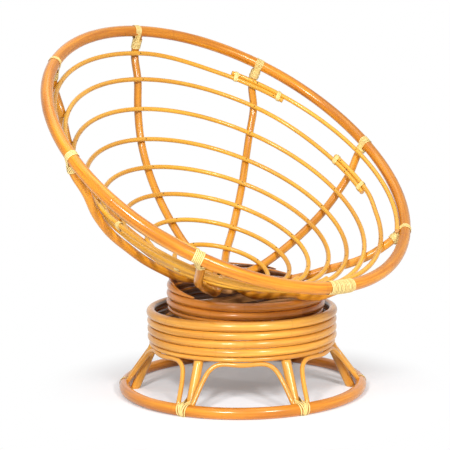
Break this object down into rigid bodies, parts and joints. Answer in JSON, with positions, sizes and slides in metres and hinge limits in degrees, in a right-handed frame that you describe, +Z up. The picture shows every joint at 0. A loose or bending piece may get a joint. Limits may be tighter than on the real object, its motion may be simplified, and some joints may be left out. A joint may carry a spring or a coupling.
{
  "type": "papasan chair",
  "caption": "Bare rattan papasan chair: a tilted round bowl of ribs and hoops on a coiled ring that rocks and swivels on a coiled drum base with leaning legs and arches.",
  "frame": {"origin": "on the floor, under the middle of the chair's bounding box; the swivel axis stands 34 mm in front of it", "axes": "+Z up, the sitter faces -Y, +X is the sitter's left"},
  "size_m": [1.1221, 0.8958, 1.0345],
  "materials": {
    "rattan": "honey-coloured rattan poles under clear gloss lacquer",
    "peel": "pale rattan peel, satin",
    "timber": "plain sawn timber, matt",
    "black_steel": "black paint, satin",
    "bright_steel": "zinc-bright steel"
  },
  "bodies": {
    "base": {"floor_ring": "rattan", "leg_1": "rattan", "leg_2": "rattan", "leg_3": "rattan", "leg_4": "rattan", "leg_5": "rattan", "leg_6": "rattan", "arch_1": "rattan", "arch_2": "rattan", "arch_3": "rattan", "arch_4": "rattan", "arch_5": "rattan", "arch_6": "rattan", "drum_coil_1": "rattan", "drum_coil_2": "rattan", "drum_coil_3": "rattan", "drum_coil_4": "rattan", "drum_coil_5": "rattan", "base_bar_1": "timber", "base_bar_2": "timber", "base_plate": "black_steel", "swivel_bearing": "bright_steel"},
    "swivel": {"swivel_bracket": "black_steel", "pivot_pin": "bright_steel", "spring_front": "bright_steel", "spring_back": "bright_steel"},
    "seat": {"seat_coil_1": "rattan", "seat_coil_2": "rattan", "seat_coil_3": "rattan", "wedge_coil_1": "rattan", "wedge_coil_2": "rattan", "seat_bar_front": "timber", "seat_bar_back": "timber", "rocker_plate": "black_steel", "rim": "rattan", "hoop_1": "rattan", "hoop_2": "rattan", "hoop_3": "rattan", "hoop_4": "rattan", "hoop_5": "rattan", "hoop_6": "rattan", "hoop_7": "rattan", "hoop_8": "rattan", "rib_front": "rattan", "rib_front_left": "rattan", "rib_left": "rattan", "rib_back_left": "rattan", "rib_back": "rattan", "rib_back_right": "rattan", "rib_right": "rattan", "rib_front_right": "rattan", "rib_hub": "timber", "lashing_front": "peel", "lashing_front_left": "peel", "lashing_left": "peel", "lashing_back_left": "peel", "lashing_back": "peel", "lashing_back_right": "peel", "lashing_right": "peel", "lashing_front_right": "peel"}
  },
  "joints": [
    {"name": "base_swivel", "type": "hinge", "parent": "base", "child": "swivel", "pos_m": [0, -0.03385, 0.1766], "axis": [0, 0, 1], "continuous": true},
    {"name": "seat_rock", "type": "hinge", "parent": "swivel", "child": "seat", "pos_m": [0, -0.03385, 0.207], "axis": [-1, 0, 0], "range_deg": [-3, 12], "stiffness_Nm_per_rad": 200, "springref_deg": -1.04, "deforming": ["spring_front", "spring_back"]}
  ]
}
